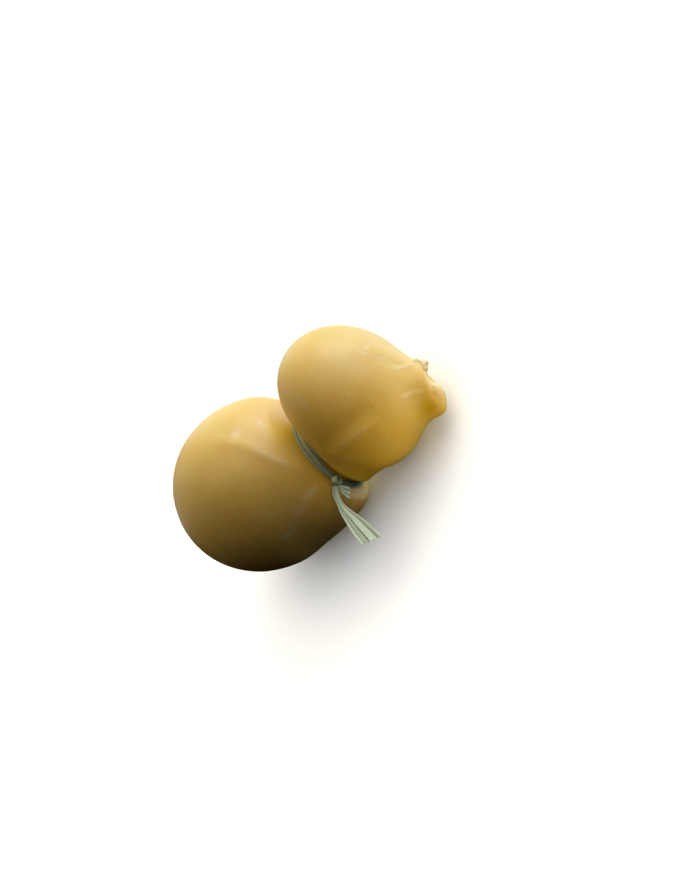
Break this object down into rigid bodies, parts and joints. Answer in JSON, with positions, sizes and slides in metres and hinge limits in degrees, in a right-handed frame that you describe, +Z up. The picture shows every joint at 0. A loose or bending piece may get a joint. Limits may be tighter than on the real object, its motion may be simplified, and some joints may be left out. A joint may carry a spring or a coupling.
{
  "type": "scamorza",
  "caption": "Pear-shaped stretched-curd cheese lying on its side, with a round body, a tied neck, a smaller head with a torn spout, and a knotted raffia tie round the neck.",
  "frame": {"origin": "on the floor below the middle of the whole part's bounding box", "axes": "+X along the length from the body to the head, +Z up from the floor the cheese lies on, +Y to the left of the length"},
  "size_m": [0.1142, 0.081, 0.0665],
  "materials": {
    "cheese": "waxy satin, pale butter yellow",
    "raffia": "dry matt, pale green"
  },
  "bodies": {
    "root": {"cheese": "cheese", "raffia_tie": "raffia"}
  },
  "joints": []
}
